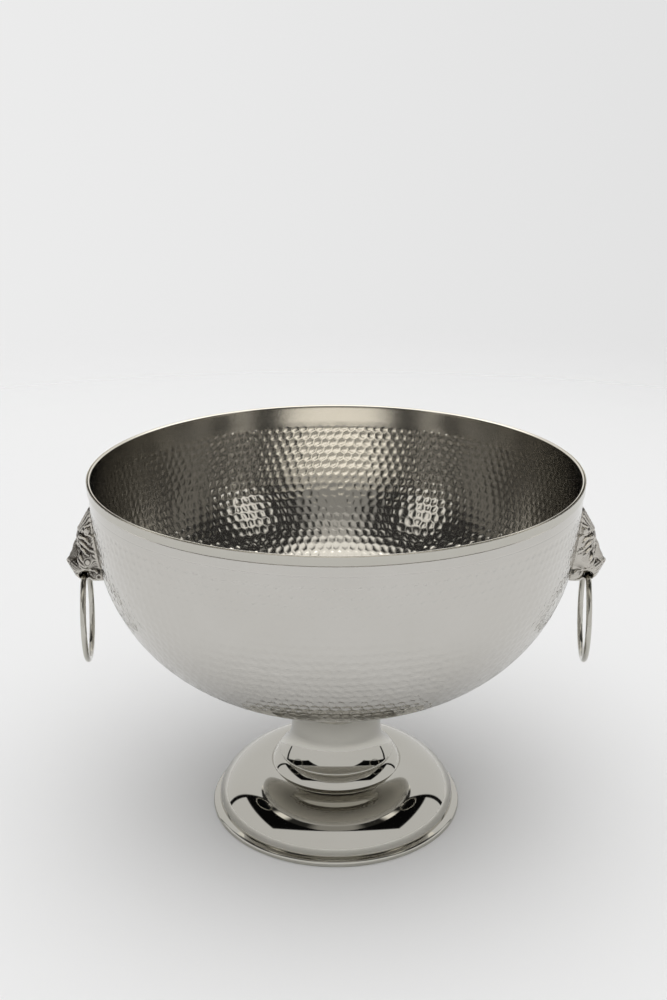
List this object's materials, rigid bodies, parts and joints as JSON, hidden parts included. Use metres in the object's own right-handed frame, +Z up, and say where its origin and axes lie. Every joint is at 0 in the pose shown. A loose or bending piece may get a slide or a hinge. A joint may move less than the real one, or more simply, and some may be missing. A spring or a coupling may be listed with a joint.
{
  "type": "champagne bowl",
  "caption": "Wide round bowl of hammered silver-coloured metal on a narrow neck and domed foot, with a ring handle hanging from a lion mask at each side.",
  "frame": {"origin": "on the bowl's axis, in the plane that the foot stands on", "axes": "+Z up along the bowl's axis, +X to the right-hand lion mask, -Y towards the front"},
  "size_m": [0.4392, 0.4, 0.3062],
  "materials": {
    "hammered_silver": "polished, with a hammered surface",
    "polished_silver": "mirror polished",
    "antique_silver": "cast, polished on top and darkened in the recesses",
    "plain_steel": "plain"
  },
  "bodies": {
    "bowl_and_foot": {"bowl": "hammered_silver", "rim_band": "polished_silver", "stem": "polished_silver", "skirt_ring": "polished_silver", "foot_dome": "polished_silver", "foot_ring": "polished_silver", "bowl_boss": "plain_steel", "tie_rod": "plain_steel", "foot_washer": "plain_steel", "foot_lock_washer": "plain_steel", "foot_nut": "plain_steel", "lion_mask_left": "antique_silver", "lion_mask_right": "antique_silver", "mask_screws_left": "polished_silver", "mask_screws_right": "polished_silver", "mask_washers_left": "plain_steel", "mask_washers_right": "plain_steel"},
    "left_ring": {"ring_handle_left": "polished_silver"},
    "right_ring": {"ring_handle_right": "polished_silver"}
  },
  "joints": [
    {"name": "left_ring_swing", "type": "hinge", "parent": "bowl_and_foot", "child": "left_ring", "pos_m": [-0.20548, -0.02051, 0.223], "axis": [-0.0993, 0.9951, 0], "range_deg": [-37, 178]},
    {"name": "right_ring_swing", "type": "hinge", "parent": "bowl_and_foot", "child": "right_ring", "pos_m": [0.20548, -0.02051, 0.223], "axis": [-0.0993, -0.9951, 0], "range_deg": [-37, 178]}
  ]
}
